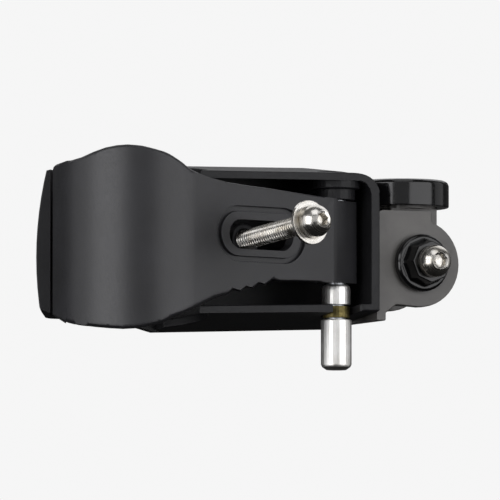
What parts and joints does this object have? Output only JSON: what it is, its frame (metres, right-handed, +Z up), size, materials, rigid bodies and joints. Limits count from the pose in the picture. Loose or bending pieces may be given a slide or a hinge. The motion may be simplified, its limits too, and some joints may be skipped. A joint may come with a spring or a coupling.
{
  "type": "umbrella swivel bracket",
  "caption": "Hinged tube clamp with a through screw and a swivelling, tilting collet socket that holds an umbrella rod.",
  "frame": {"origin": "on the axis of the tube that the clamp grips, at mid-height of the clamp", "axes": "+Z up along the gripped tube, +X from the tube towards the umbrella socket, -Y to the front, where the clamp screw and the tilt knob stand out"},
  "size_m": [0.0884, 0.0564, 0.0438],
  "materials": {
    "jaw_plastic": "fine-textured black nylon",
    "yoke_plastic": "satin warm grey moulding",
    "gloss_plastic": "glossy black",
    "pad_rubber": "dull black",
    "nickel": "bright nickel plate",
    "steel": "zinc-plated",
    "spring_steel": "rolled spring steel",
    "brass": "dull olive brass",
    "fibre": "pressed friction fibre"
  },
  "bodies": {
    "clamp_body": {"rear_jaw": "jaw_plastic", "rear_pad": "pad_rubber", "clamp_insert": "brass", "hinge_bolt": "steel", "hinge_spacer": "nickel", "hinge_bush": "brass", "hinge_barrel_nut": "nickel", "wave_washer": "spring_steel", "swivel_retaining_ring": "spring_steel"},
    "front_jaw_body": {"front_jaw": "jaw_plastic", "front_pad": "pad_rubber"},
    "screw_carriage": {"screw_washer": "nickel"},
    "screw_body": {"clamp_screw": "nickel"},
    "swivel_body": {"swivel_yoke": "yoke_plastic", "tilt_washer": "steel", "tilt_nut": "steel"},
    "socket_body": {"umbrella_socket": "yoke_plastic", "tilt_disc_front": "fibre", "tilt_disc_rear": "fibre", "collet": "brass"},
    "knob_body": {"tilt_knob": "gloss_plastic", "tilt_screw": "nickel"},
    "collar_body": {"collet_nut": "gloss_plastic"}
  },
  "joints": [
    {"name": "jaw_hinge", "type": "hinge", "parent": "clamp_body", "child": "front_jaw_body", "pos_m": [0.039, -0.004, 0], "axis": [0, 0, 1], "range_deg": [0, 23]},
    {"name": "clamp_screw_travel", "type": "slide", "parent": "clamp_body", "child": "screw_carriage", "axis": [0.2345, -0.9655, 0.1132], "range_m": [-0.014, 0]},
    {"name": "clamp_screw_turn", "type": "hinge", "parent": "screw_carriage", "child": "screw_body", "pos_m": [0.01631, -0.01383, 0.00075], "axis": [0.2345, -0.9655, 0.1132], "range_deg": [-7200, 0]},
    {"name": "head_swivel", "type": "hinge", "parent": "clamp_body", "child": "swivel_body", "pos_m": [0.0466, 0.0015, -0.003], "axis": [1, 0, 0], "continuous": true},
    {"name": "head_tilt", "type": "hinge", "parent": "swivel_body", "child": "socket_body", "pos_m": [0.0566, 0.0015, -0.003], "axis": [0, 1, 0], "range_deg": [0, 90]},
    {"name": "tilt_knob_turn", "type": "hinge", "parent": "swivel_body", "child": "knob_body", "pos_m": [0.0566, 0.0015, -0.003], "axis": [0, -1, 0], "continuous": true},
    {"name": "collet_nut_turn", "type": "hinge", "parent": "socket_body", "child": "collar_body", "pos_m": [0.0566, 0.0015, 0.0144], "axis": [0, 0, 1], "continuous": true}
  ],
  "couplings": [
    {"joint": "clamp_screw_turn", "follows": "clamp_screw_travel", "rad_per_m": 8976}
  ]
}
